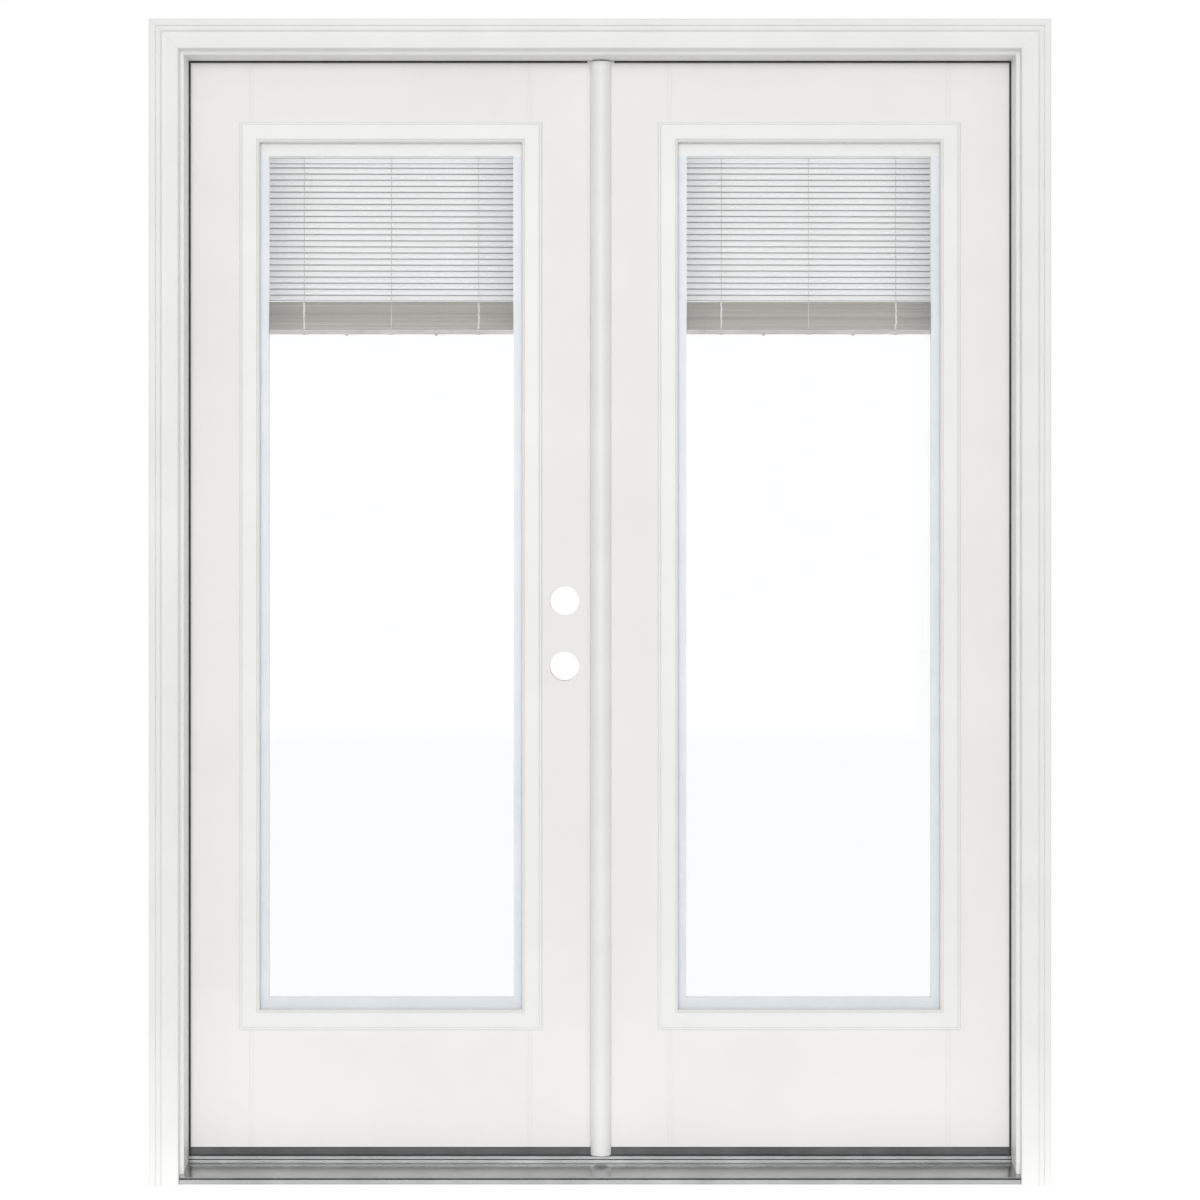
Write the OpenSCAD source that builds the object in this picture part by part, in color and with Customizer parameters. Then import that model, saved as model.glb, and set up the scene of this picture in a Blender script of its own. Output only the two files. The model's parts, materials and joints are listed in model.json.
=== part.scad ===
// A double inswing patio door, pre-hung in its frame: two full-lite leaves with blinds between the
// panes, an astragal on the right-hand leaf, jambs, casing and a sloped sill.
// X runs across the door, Y runs from the outside to the inside, Z is up.
// The origin is the middle of the sill's underside, in the plane of the casing's back.

/* [Leaves] */
// Width of each door leaf
leaf_w = 762; // [640:1:920]
// Height of each door leaf
leaf_h = 2014; // [1980:1:2420]
// Thickness of each door leaf
leaf_t = 44.45; // [40:0.05:56]
// Thickness of each moulded skin
skin_t = 2; // [1.5:0.1:2.6]
// Width of the stiles between the skins
stile_w = 30; // [24:1:32]
// Height of the top rail between the skins
top_rail_h = 40; // [30:1:60]
// Height of the bottom rail between the skins
bottom_rail_h = 62; // [40:1:100]
// Width of the solid block that takes the lock
lock_block_w = 66; // [61:1:80]
// Height of the solid block that takes the lock
lock_block_h = 330; // [240:1:420]
// Distance of the moulded joint lines from a leaf's middle
joint_line_x = 257; // [240:1:275]
// Width of each moulded joint line
joint_line_w = 1.4; // [0.8:0.1:2]
// Depth of each moulded joint line
joint_line_d = 0.7; // [0.3:0.1:1.2]

/* [Gaps] */
// Gap between a leaf and its hinge jamb
hinge_gap = 3; // [2.5:0.1:4]
// Gap between the two leaves
centre_gap = 11; // [10.5:0.1:14]
// Gap between a leaf and the head jamb
head_gap = 3; // [2.5:0.1:5]
// Gap between a leaf and the sill cap
sill_gap = 15; // [12:0.5:20]
// Clearance of a soft seal from what it closes on
seal_gap = 0.3; // [0.2:0.1:0.6]
// Clearance of a part that slides in its track
slide_gap = 0.3; // [0.2:0.05:0.5]
// Radial clearance of a hinge pin in a door knuckle
pin_gap = 0.05; // [0.02:0.01:0.1]

/* [Frame] */
// Depth of the jambs through the wall
jamb_depth = 115.9; // [110:0.1:170]
// Thickness of a jamb at its stop
jamb_t = 31.75; // [28:0.25:38]
// How far the stop stands out from the rabbet
stop_proud = 11; // [9:0.5:14]
// Space between the stop and the leaf, which the weatherstrip fills
stop_gap = 5; // [4:0.1:7]
// Width of the casing
mould_w = 53; // [46:1:75]
// Thickness of the casing at its outer band
mould_t = 31.75; // [28:0.25:36]
// Width of jamb that shows between the stop and the casing
reveal = 6.5; // [4:0.5:10]
// How far the weatherstrip stands out past the stop
strip_show = 3.6; // [2:0.1:6]
// Width of the saw kerf that holds the weatherstrip
kerf_w = 3; // [2.5:0.1:4]
// Depth of the saw kerf that holds the weatherstrip
kerf_d = 8; // [6:0.5:11]

/* [Sill] */
// Height of the sill cap's top
cap_z = 38; // [34:0.5:46]
// Height of the nose at the front of the sill
nose_z = 12.7; // [10:0.1:18]
// How far the nose reaches in front of the jambs
nose_out = 17; // [10:0.5:30]
// Height of the deck where it meets the cap
deck_z = 27.7; // [24:0.1:29]
// Distance of the cap's front from the jambs' front
cap_y = 60; // [50:0.5:64]
// Thickness of the aluminium deck
deck_t = 1.6; // [1.2:0.1:2.4]
// Height of the bare substrate behind the deck
base_z = 28; // [26:0.1:30]

/* [Lites] */
// Outer width of a lite frame
lite_w = 558.8; // [450:0.1:570]
// Outer height of a lite frame
lite_h = 1676.4; // [1400:0.1:1700]
// Height of the lite frame's foot above the leaf's bottom
lite_up = 216.8; // [150:0.1:240]
// Width of the lite frame's face
lite_face = 37; // [34:0.5:44]
// How far the lite frame stands out from the skin
lite_proud = 9; // [7:0.5:11]
// Distance from the lite frame's outer edge to the glass edge
glass_in = 25.4; // [22:0.1:28]
// Thickness of each pane
pane_t = 3.2; // [3:0.1:4]
// Thickness of the sealed glass unit
unit_t = 25.4; // [24:0.1:26]
// Gap around the glass unit in the leaf
cut_gap = 8; // [7:0.1:10]

/* [Blinds] */
// Width of each side channel that shows
channel_show = 15.5; // [12:0.5:24]
// Height of head rail that shows
head_rail_show = 24; // [18:0.5:34]
// Height of bottom channel that shows
bottom_show = 20.5; // [12:0.5:30]
// Width of a slat
slat_w = 12.5; // [11.5:0.1:14]
// Thickness of a slat
slat_t = 0.4; // [0.3:0.05:0.5]
// Radius of a slat's crown
slat_crown_r = 20; // [14:1:40]
// Angle of the closed slats from level
slat_tilt = 72; // [65:1:76]
// Distance between hanging slats
slat_pitch = 11.24; // [10.5:0.01:13]
// Number of slats that hang
slats_hanging = 23; // [4:1:60]
// Drop from the last hanging slat to the gathered slats
stack_drop = 7; // [2:0.5:14]
// Height of the gathered slats
stack_h = 53; // [30:1:90]
// Height of the bottom rail
rail_h = 8; // [6:0.5:12]
// Distance of the ladder cords from the blind's middle
ladder_x = 161.7; // [120:0.1:180]
// Distance of the bumpers from the blind's middle
bumper_x = 83; // [60:1:110]
// Radius of a cord
cord_r = 0.5; // [0.4:0.05:0.8]

/* [Astragal] */
// Width of the astragal's face
astragal_w = 37.9; // [34:0.1:44]
// Distance of the astragal's middle from the centreline
astragal_x = 1.65; // [0:0.05:3]
// Depth of the astragal's straight sides, in front of its gap
astragal_side = 0.5; // [0.2:0.1:4]
// Gap between the astragal and the left-hand leaf's face
astragal_gap = 3; // [2.5:0.1:5]
// Thickness of the stem between the leaves
stem_t = 6; // [5.5:0.1:7]
// Travel of the flush bolts
bolt_travel = 19; // [14:0.5:19]
// Length of each flush bolt
bolt_len = 265; // [150:1:320]

/* [Lock bores] */
// Distance of the lock bores from the leaf's edge
backset = 60.3; // [60.3:0.1:62]
// Radius of the lock bores
bore_r = 27; // [25:0.1:27]
// Height of the lower bore above the leaf's bottom
lower_bore_up = 888.1; // [860:0.1:950]
// Distance between the two lock bores
bore_spacing = 121.1; // [110:0.1:145]
// Radius of the latch bores in the leaf's edge
latch_r = 12.7; // [11:0.1:12.7]

/* [Hinges] */
// Height of a hinge
hinge_h = 101.6; // [88:0.1:115]
// Thickness of a hinge plate
plate_t = 2.5; // [2:0.1:3.2]
// Width of a hinge plate in its mortise
plate_w = 34; // [28:0.5:38]
// Outer radius of the hinge knuckles
knuckle_r = 6; // [5.5:0.1:6.4]
// Radius of the hinge pin
pin_r = 3.9; // [3:0.1:4.2]
// Distance of the pin's middle from the leaf's inner face
pin_off = 6.5; // [6.5:0.1:8]
// Distance from a leaf's end to the middle of its end hinge
hinge_end = 229; // [180:1:280]

/* [Hidden] */
$fn = 48;
over = 1;        // how far a cut runs past the face it opens
left = -1;
right = 1;

// leaf and frame, for the right-hand side
lock_x = centre_gap / 2;
hinge_x = lock_x + leaf_w;
mid_x = (lock_x + hinge_x) / 2;
rabbet_x = hinge_x + hinge_gap;
stop_x = rabbet_x - stop_proud;
jamb_out_x = stop_x + jamb_t;
mould_in_x = stop_x + reveal;
mould_out_x = mould_in_x + mould_w;
in_y = jamb_depth;
out_y = in_y - leaf_t;
mid_y = (in_y + out_y) / 2;
stop_y = out_y - stop_gap;
leaf_z = cap_z + sill_gap;
leaf_top = leaf_z + leaf_h;
rabbet_z = leaf_top + head_gap;
stop_z = rabbet_z - stop_proud;
head_top = stop_z + jamb_t;
mould_top = stop_z + reveal + mould_w;
kerf_c = (rabbet_x + stop_x) / 2 + 0.25;
kerf_c_z = kerf_c - rabbet_x + rabbet_z;
strip_stop = out_y - seal_gap;
fit = 0.15;      // clearance of a part pushed into a slot

// lite
lite_z = leaf_z + lite_up;
lite_mid_z = lite_z + lite_h / 2;
glass_w = lite_w - 2 * glass_in;
glass_h = lite_h - 2 * glass_in;
cut_w = glass_w + 2 * cut_gap;
cut_h = glass_h + 2 * cut_gap;
day_w = lite_w - 2 * lite_face;
day_h = lite_h - 2 * lite_face;
pane_out_y = mid_y - unit_t / 2;
pane_in_y = mid_y + unit_t / 2;
room_y = [pane_out_y + pane_t, pane_in_y - pane_t];
glass_sink = pane_out_y - out_y;
leg_in = glass_in - 0.4;
leg_out = glass_in - cut_gap + 0.5;
screw_in = (leg_in + leg_out) / 2;

// blinds
clear_x = day_w / 2 - channel_show;
blind_top = lite_mid_z + day_h / 2 - head_rail_show;
blind_foot = lite_mid_z - day_h / 2 + bottom_show;
slat_len = 2 * (clear_x - 1.2);
slat_rise = slat_w * sin(slat_tilt);
first_slat_z = blind_top - 1.3 - slat_rise / 2;
stack_top = first_slat_z - (slats_hanging - 1) * slat_pitch - slat_rise / 2 - stack_drop;
rail_top = stack_top - stack_h;
rail_z = rail_top - rail_h;
bumper_h = 3;
slat_sag = slat_w * slat_w / (8 * slat_crown_r);
cord_off = (slat_w * cos(slat_tilt) + slat_sag) / 2 + cord_r + 0.3;
cord_hole_y = cord_off + cord_r + 0.6;

// sliders on the inner lite frame
track_in = 29;
track_w = 4;
track_d = 4;
slider_w = 14;
slider_h = 46;
slider_proud = 8;
lift_up = 250;
lift_down = 1225;
lift_z = lite_mid_z - day_h / 2 + 30 + lift_up;
tilt_travel = 80;
tilt_z = lite_mid_z;

// bores
lower_bore_z = leaf_z + lower_bore_up;
bore_zs = [lower_bore_z, lower_bore_z + bore_spacing];
bore_x = lock_x + backset;
block_z = lower_bore_z + bore_spacing / 2 - lock_block_h / 2;

// hinges
pin_x = (hinge_x + rabbet_x) / 2;
pin_y = in_y + pin_off;
hinge_zs = [leaf_z + hinge_end, leaf_z + leaf_h / 2, leaf_top - hinge_end];
knuckle_h = hinge_h / 5;
knuckle_gap = 0.3;
hinge_screw_l = 20;
lite_screw_l = 36;
screw_head_r = 3.7;
screw_r = 1.7;

// astragal
stem_x = lock_x - stem_t;
stem_z = cap_z + 3;
stem_top = leaf_top - 1;
flange_z = cap_z + 1.5;
flange_top = stop_z - 3;
bolt_w = 12;
bolt_t = 3.4;
bolt_y = [mid_y - bolt_w / 2, mid_y + bolt_w / 2];
keeper_t = 1.5;
keeper_x = [-15, 19];
keeper_y = [mid_y - 14, mid_y + 14];
pocket_x = [stem_x - 1, stem_x + bolt_t + 1.6];
pocket_y = [bolt_y[0] - 1, bolt_y[1] + 1];
head_pocket_z = rabbet_z + bolt_travel - 2;
sill_pocket_z = stem_z - bolt_travel - 1.5;

// colours
mould_white = "#eeeeee";
slab_white = "#e9e8e6";
lite_white = "#f0f0ed";
seal_black = "#2b2b2d";
alloy = "#b4b6b8";

// ---- helpers ----

// A box given by its ranges along X, Y and Z
module block(x, y, z) {
    translate([x[0], y[0], z[0]]) cube([x[1] - x[0], y[1] - y[0], z[1] - z[0]]);
}

// Children drawn in (y, z), run along X
module along_x(x) {
    translate([x[0], 0, 0]) rotate([90, 0, 90]) linear_extrude(x[1] - x[0]) children();
}

// Children drawn in (x, y), run along Z
module upright(z) {
    translate([0, 0, z[0]]) linear_extrude(z[1] - z[0]) children();
}

// Children made for the right-hand side, moved to the given side
module handed(side) {
    if (side < 0) mirror([1, 0, 0]) children();
    else children();
}

// One moulding along X whose outline goes (in from the edge, out from the face), mitred at both ends
module mitred(len, width, outline) {
    intersection() {
        along_x([-len / 2, len / 2]) polygon([for (p = outline) [-p[1], p[0]]]);
        rotate([90, 0, 0]) linear_extrude(200, center = true)
            polygon([[-len / 2, 0], [len / 2, 0], [len / 2 - width, width], [width - len / 2, width]]);
    }
}

// Four mitred mouldings around a rectangle centred on X = 0, Z = 0
module mitred_frame(w, h, width, outline) {
    for (end = [0, 180]) rotate([0, end, 0]) translate([0, 0, -h / 2]) mitred(w, width, outline);
    for (end = [90, 270]) rotate([0, end, 0]) translate([0, 0, -w / 2]) mitred(h, width, outline);
}

// A countersunk screw that points along -Z from its head at Z = 0
module screw(len) {
    rotate_extrude($fn = 24) polygon([
        [0, 0], [screw_head_r, 0], [screw_r, -2.2], [screw_r, 3 - len], [0, -len]
    ]);
}

function deck_height(y) = nose_z + (y + nose_out) * (deck_z - nose_z) / (cap_y + nose_out);

// ---- frame ----

// The space under a jamb's foot, in (y, z)
module foot_cut() {
    polygon([
        [-over, -over], [-over, deck_height(-over)], [cap_y, deck_z], [cap_y, deck_z + 3],
        [cap_y + deck_t, deck_z + 3], [cap_y + deck_t, base_z], [in_y + over, base_z],
        [in_y + over, -over]
    ]);
}

module hinge_mortises(x) {
    for (z = hinge_zs) block(x, [in_y - plate_w, in_y + over], [z - hinge_h / 2, z + hinge_h / 2]);
}

module jamb(side) {
    color(mould_white) handed(side) difference() {
        upright([0, head_top]) polygon([
            [stop_x, 0], [jamb_out_x, 0], [jamb_out_x, in_y], [rabbet_x, in_y],
            [rabbet_x, stop_y], [stop_x, stop_y]
        ]);
        block([kerf_c - kerf_w / 2, kerf_c + kerf_w / 2], [stop_y - kerf_d, stop_y + over],
              [0, head_top - jamb_t + stop_proud]);
        along_x([0, jamb_out_x + over]) foot_cut();
        hinge_mortises([rabbet_x - over, rabbet_x + plate_t]);
        frame_screw_places() screw(hinge_screw_l);
    }
}

module jamb_head() {
    color(mould_white) difference() {
        union() {
            block([-stop_x, stop_x], [0, stop_y], [stop_z, head_top]);
            block([-rabbet_x, rabbet_x], [stop_y, in_y], [rabbet_z, head_top]);
        }
        block([-stop_x - over, stop_x + over], [stop_y - kerf_d, stop_y + over],
              [kerf_c_z - kerf_w / 2, kerf_c_z + kerf_w / 2]);
        block(pocket_x, pocket_y, [rabbet_z - over, head_pocket_z]);
        block(keeper_x, keeper_y, [rabbet_z - over, rabbet_z + keeper_t]);
    }
}

casing_outline = [
    [0, 0], [0, mould_t - 1.5], [0.5, mould_t - 0.5], [1.5, mould_t], [11, mould_t],
    [11.9, mould_t - 0.5], [12.2, mould_t - 2.4], [13.2, mould_t - 2.4], [13.6, mould_t - 1.3],
    [19.4, mould_t - 1.3], [20.6, mould_t - 2], [22.6, mould_t - 5.4], [23.8, mould_t - 6],
    [mould_w - 2.6, mould_t - 6], [mould_w - 0.8, mould_t - 6.8], [mould_w, mould_t - 8.6],
    [mould_w, 0]
];

module casing_leg(side) {
    color(mould_white) handed(side) intersection() {
        upright([0, mould_top]) polygon([for (p = casing_outline) [mould_out_x - p[0], -p[1]]]);
        rotate([90, 0, 0]) linear_extrude(200, center = true) polygon([
            [mould_in_x, 0], [mould_out_x, 0], [mould_out_x, mould_top],
            [mould_in_x, mould_top - mould_w]
        ]);
    }
}

module casing_head() {
    color(mould_white) translate([0, 0, mould_top]) rotate([0, 180, 0])
        mitred(2 * mould_out_x, mould_w, casing_outline);
}

// Weatherstrip in section: its barb sits in the kerf and its bulb closes on the leaf's face
module strip_outline() {
    bulb_y = [stop_y + 0.05, strip_stop];
    bulb_r = (bulb_y[1] - bulb_y[0]) / 2;
    inner = stop_x - strip_show;
    translate([inner + bulb_r, (bulb_y[0] + bulb_y[1]) / 2]) circle(bulb_r);
    translate([inner + bulb_r, bulb_y[0]])
        square([rabbet_x - 0.4 - inner - bulb_r, bulb_y[1] - bulb_y[0]]);
    translate([kerf_c - kerf_w / 2 + fit, stop_y - kerf_d + 0.5])
        square([kerf_w - 2 * fit, kerf_d + 0.5]);
}

module weatherstrips() {
    strip_end = stop_x - strip_show - 0.2;
    astragal_clear = 6;
    color(seal_black) {
        for (side = [left, right]) handed(side) upright([cap_z + 0.3, rabbet_z - 0.5]) strip_outline();
        for (x = [[-strip_end, astragal_x - astragal_w / 2 - astragal_clear],
                  [astragal_x + astragal_w / 2 + astragal_clear, strip_end]])
            along_x(x) translate([0, rabbet_z - rabbet_x]) mirror([1, -1]) strip_outline();
    }
}

module sill_ends() {
    for (side = [left, right]) handed(side)
        block([mould_in_x - 0.5, jamb_out_x + over], [-nose_out - over, 0], [-over, deck_z]);
}

module sill_deck() {
    skin = deck_t * 1.05;
    color(alloy) difference() {
        along_x([-jamb_out_x, jamb_out_x]) polygon([
            [-nose_out, 0], [-nose_out, 8.2], [-nose_out + 1, 8.7], [-nose_out + 1, 11.2],
            [-nose_out, 11.6], [-nose_out, nose_z - 0.5], [-nose_out + 0.5, nose_z],
            [cap_y, deck_z], [cap_y, deck_z + 3], [cap_y + deck_t, deck_z + 3],
            [cap_y + deck_t, deck_z - skin], [-nose_out + 2.6, nose_z - skin],
            [-nose_out + 2.6, 0]
        ]);
        sill_ends();
    }
}

module sill_substrate() {
    skin = deck_t * 1.05;
    front = -nose_out + 2.6;
    color("#8d8880") difference() {
        along_x([-jamb_out_x, jamb_out_x]) polygon([
            [front, 0], [front, nose_z - skin], [cap_y + deck_t, deck_z - skin],
            [cap_y + deck_t, base_z], [in_y, base_z], [in_y, 0]
        ]);
        sill_ends();
        block(pocket_x, pocket_y, [sill_pocket_z, base_z + over]);
    }
}

module sill_cap() {
    lip_z = deck_z + 5;
    color(alloy) difference() {
        along_x([-rabbet_x + fit, rabbet_x - fit]) polygon([
            [cap_y, lip_z], [cap_y, cap_z - 1], [cap_y + 1, cap_z], [in_y - 4, cap_z],
            [in_y - 2, cap_z - 2], [in_y - 2, base_z], [cap_y + deck_t + 1.4, base_z],
            [cap_y + deck_t + 1.4, lip_z]
        ]);
        for (side = [left, right]) handed(side)
            block([stop_x - fit, rabbet_x + over], [cap_y - over, stop_y + fit],
                  [base_z - over, cap_z + over]);
        block(pocket_x, pocket_y, [base_z - over, cap_z + over]);
        block(keeper_x, keeper_y, [cap_z - keeper_t, cap_z + over]);
    }
}

module corner_pads() {
    color(seal_black) for (side = [left, right]) handed(side)
        block([rabbet_x - hinge_gap + 0.5, rabbet_x], [out_y + 1, out_y + 26], [cap_z + 0.3, cap_z + 60]);
}

module bolt_keepers() {
    color(alloy) {
        difference() {
            block(keeper_x, keeper_y, [rabbet_z, rabbet_z + keeper_t]);
            block(pocket_x, pocket_y, [rabbet_z - over, rabbet_z + keeper_t + over]);
        }
        difference() {
            block(keeper_x, keeper_y, [cap_z - keeper_t, cap_z]);
            block(pocket_x, pocket_y, [cap_z - keeper_t - over, cap_z + over]);
        }
    }
}

// ---- hinges ----

// The knuckles numbered in list, with the bore that turns or holds the pin
module knuckles(z, list, bore, plate_x) {
    for (k = list) {
        low = z - hinge_h / 2 + k * knuckle_h + knuckle_gap / 2;
        high = low + knuckle_h - knuckle_gap;
        difference() {
            union() {
                translate([pin_x, pin_y, low]) cylinder(r = knuckle_r, h = high - low);
                block(plate_x, [in_y - over, pin_y], [low, high]);
            }
            translate([pin_x, pin_y, low - over]) cylinder(r = bore, h = high - low + 2 * over);
        }
    }
}

module hinge_plate(x, z) {
    block(x, [in_y - plate_w, in_y], [z - hinge_h / 2, z + hinge_h / 2]);
}

module screws_in_plate(x, turn) {
    for (z = hinge_zs, up = [-38, -13, 13, 38])
        translate([x, in_y - (abs(up) > 20 ? 12 : 24), z + up]) rotate([0, turn, 0]) children();
}

module frame_screw_places() {
    screws_in_plate(rabbet_x, -90) children();
}

module hinge_frame_leaves() {
    plate_x = [rabbet_x, rabbet_x + plate_t];
    color(alloy) for (side = [left, right]) handed(side) difference() {
        for (z = hinge_zs) {
            hinge_plate(plate_x, z);
            knuckles(z, [0, 2, 4], pin_r, plate_x);
        }
        frame_screw_places() screw(hinge_screw_l);
    }
}

module hinge_pins() {
    color(alloy) for (side = [left, right], z = hinge_zs) handed(side)
        translate([pin_x, pin_y, z - hinge_h / 2 - 2]) {
            cylinder(r = pin_r, h = hinge_h + 2);
            translate([0, 0, hinge_h + 2]) cylinder(r = knuckle_r - 0.3, h = 2.4);
        }
}

module frame_screws() {
    color(alloy) for (side = [left, right]) handed(side) frame_screw_places() screw(hinge_screw_l);
}

module leaf_hinges(side) {
    plate_x = [hinge_x - plate_t, hinge_x];
    color(alloy) handed(side) difference() {
        for (z = hinge_zs) {
            hinge_plate(plate_x, z);
            knuckles(z, [1, 3], pin_r + pin_gap, plate_x);
        }
        screws_in_plate(hinge_x, 90) screw(hinge_screw_l);
    }
}

// ---- leaf ----

module lite_cut() {
    block([mid_x - cut_w / 2, mid_x + cut_w / 2], [out_y - over, in_y + over],
          [lite_mid_z - cut_h / 2, lite_mid_z + cut_h / 2]);
}

module lock_bores() {
    for (z = bore_zs) translate([bore_x, out_y - over, z]) rotate([-90, 0, 0])
        cylinder(r = bore_r, h = leaf_t + 2 * over);
}

module latch_bores() {
    for (z = bore_zs) translate([lock_x - over, mid_y, z]) rotate([0, 90, 0])
        cylinder(r = latch_r, h = backset + over);
}

// Pairs of moulded lines above and below the lite, where a stile would meet a rail
module joint_lines(y) {
    for (side = [left, right], line = [-3, 3]) {
        x = mid_x + side * joint_line_x + line;
        for (z = [[leaf_z - over, lite_z + 6], [lite_z + lite_h - 6, leaf_top + over]])
            block([x - joint_line_w / 2, x + joint_line_w / 2], y, z);
    }
}

module skin(side, y, face_y) {
    color(slab_white) handed(side) difference() {
        block([lock_x, hinge_x], y, [leaf_z, leaf_top]);
        lite_cut();
        joint_lines([face_y - joint_line_d, face_y + joint_line_d]);
        hinge_mortises([hinge_x - plate_t, hinge_x + over]);
        if (side == left) lock_bores();
    }
}

module outer_skin(side) {
    skin(side, [out_y, out_y + skin_t], out_y);
}

module inner_skin(side) {
    skin(side, [in_y - skin_t, in_y], in_y);
}

module hinge_stile(side) {
    color("#c9b18a") handed(side) difference() {
        block([hinge_x - stile_w, hinge_x], [out_y + skin_t, in_y - skin_t], [leaf_z, leaf_top]);
        hinge_mortises([hinge_x - plate_t, hinge_x + over]);
        screws_in_plate(hinge_x, 90) screw(hinge_screw_l);
    }
}

module lock_stile(side) {
    color("#c9b18a") handed(side) difference() {
        block([lock_x, lock_x + stile_w], [out_y + skin_t, in_y - skin_t], [leaf_z, leaf_top]);
        if (side == left) latch_bores();
        if (side == right) {
            strike_holes([lock_x - over, lock_x + 20]);
            astragal_screw_places() screw(hinge_screw_l);
        }
    }
}

// Two kerfs in the bottom rail hold the barbs of the sweep
sweep_barbs = [out_y + 12, in_y - 12];

module rails(side) {
    x = [lock_x + stile_w, hinge_x - stile_w];
    y = [out_y + skin_t, in_y - skin_t];
    color("#c9b18a") handed(side) {
        block(x, y, [leaf_top - top_rail_h, leaf_top]);
        difference() {
            block(x, y, [leaf_z, leaf_z + bottom_rail_h]);
            for (barb = sweep_barbs)
                block([x[0] - over, x[1] + over], [barb - 1.5, barb + 1.5], [leaf_z - over, leaf_z + 9]);
        }
    }
}

block_x = [lock_x + stile_w, lock_x + stile_w + lock_block_w];

module lock_block(side) {
    color("#bfa57c") handed(side) difference() {
        block(block_x, [out_y + skin_t, in_y - skin_t], [block_z, block_z + lock_block_h]);
        if (side == left) {
            lock_bores();
            latch_bores();
        }
    }
}

module core(side) {
    color("#f3edc9") handed(side) difference() {
        block([lock_x + stile_w, hinge_x - stile_w], [out_y + skin_t, in_y - skin_t],
              [leaf_z + bottom_rail_h, leaf_top - top_rail_h]);
        lite_cut();
        block([block_x[0] - over, block_x[1]], [out_y, in_y], [block_z, block_z + lock_block_h]);
    }
}

lite_outline = [
    [0, 0], [0, lite_proud - 5], [1, lite_proud - 3.2], [4.4, lite_proud - 2.2],
    [5.4, lite_proud - 0.6], [6.4, lite_proud], [31.4, lite_proud], [32.4, lite_proud - 0.6],
    [32.8, lite_proud - 2.6], [33.8, lite_proud - 2.8], [lite_face - 1.4, lite_proud - 3.8],
    [lite_face, lite_proud - 6], [lite_face, -glass_sink], [leg_in, -glass_sink],
    [leg_in, -leaf_t / 2], [leg_out, -leaf_t / 2], [leg_out, 0]
];

// Places around the lite, pointing inwards from the inner face
module lite_screw_places(depth) {
    half_x = lite_w / 2 - screw_in;
    half_z = lite_h / 2 - screw_in;
    spots = [
        for (k = [-3:3], s = [-1, 1]) [s * half_x, k * (half_z - 40) / 3],
        for (k = [-1:1], s = [-1, 1]) [k * 150, s * half_z]
    ];
    for (p = spots) translate([mid_x + p[0], depth, lite_mid_z + p[1]]) rotate([-90, 0, 0]) children();
}

screw_seat_y = in_y + lite_proud - 0.2;

module lite_frame_outer(side) {
    color(lite_white) handed(side) difference() {
        translate([mid_x, out_y, lite_mid_z]) mitred_frame(lite_w, lite_h, lite_face, lite_outline);
        lite_screw_places(screw_seat_y) screw(lite_screw_l);
    }
}

function lift_side(side) = mid_x - (lite_w / 2 - track_in);
function tilt_side(side) = mid_x + (lite_w / 2 - track_in);

module lite_frame_inner(side) {
    face_y = in_y + lite_proud;
    color(lite_white) handed(side) difference() {
        translate([mid_x, in_y, lite_mid_z]) mirror([0, 1, 0])
            mitred_frame(lite_w, lite_h, lite_face, lite_outline);
        lite_screw_places(screw_seat_y) screw(lite_screw_l);
        lite_screw_places(face_y + over) mirror([0, 0, 1]) cylinder(r = screw_head_r + 0.1, h = over + 0.2);
        block([lift_side(side) - track_w / 2, lift_side(side) + track_w / 2],
              [face_y - track_d, face_y + over],
              [lift_z - lift_up - slider_h / 2, lift_z + lift_down + slider_h / 2]);
        block([tilt_side(side) - track_w / 2, tilt_side(side) + track_w / 2],
              [face_y - track_d, face_y + over],
              [tilt_z - tilt_travel - slider_h / 2, tilt_z + slider_h / 2]);
    }
}

module slider(x, z) {
    face_y = in_y + lite_proud;
    block([x - slider_w / 2, x + slider_w / 2], [face_y + slide_gap, face_y + slider_proud],
          [z - slider_h / 2, z + slider_h / 2]);
    for (up = [-1, 1]) translate([x - slider_w / 2, face_y + slider_proud, z + up * 12])
        rotate([0, 90, 0]) cylinder(r = 2, h = slider_w);
    block([x - track_w / 2 + slide_gap, x + track_w / 2 - slide_gap],
          [face_y - track_d + slide_gap, face_y + slide_gap + over],
          [z - slider_h / 2 + 4, z + slider_h / 2 - 4]);
}

module lift_slider(side) {
    color(lite_white) handed(side) slider(lift_side(side), lift_z);
}

module tilt_slider(side) {
    color(lite_white) handed(side) slider(tilt_side(side), tilt_z);
}

module panes(side) {
    color("#dfeef2", 0.3) handed(side)
        for (y = [[pane_out_y, room_y[0]], [room_y[1], pane_in_y]])
            block([mid_x - glass_w / 2, mid_x + glass_w / 2], y,
                  [lite_mid_z - glass_h / 2, lite_mid_z + glass_h / 2]);
}

module blind_channels(side) {
    wall = 1.5;
    z = [lite_mid_z - glass_h / 2, lite_mid_z + glass_h / 2];
    inner = [mid_x - clear_x, mid_x + clear_x];
    deep = [room_y[0] + wall, room_y[1] - wall];
    color("#dee2e6") handed(side) {
        for (turn = [-1, 1]) translate([mid_x, 0, 0]) handed(turn) difference() {
            block([clear_x, glass_w / 2], room_y, z);
            block([clear_x + wall, glass_w / 2 + over], deep, [z[0] - over, z[1] + over]);
        }
        difference() {
            block(inner, room_y, [blind_top, z[1]]);
            block([inner[0] - over, inner[1] + over], deep, [blind_top + wall, z[1] + over]);
        }
        difference() {
            block(inner, room_y, [z[0], blind_foot]);
            block([inner[0] - over, inner[1] + over], deep, [z[0] - over, blind_foot - wall]);
        }
    }
}

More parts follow.
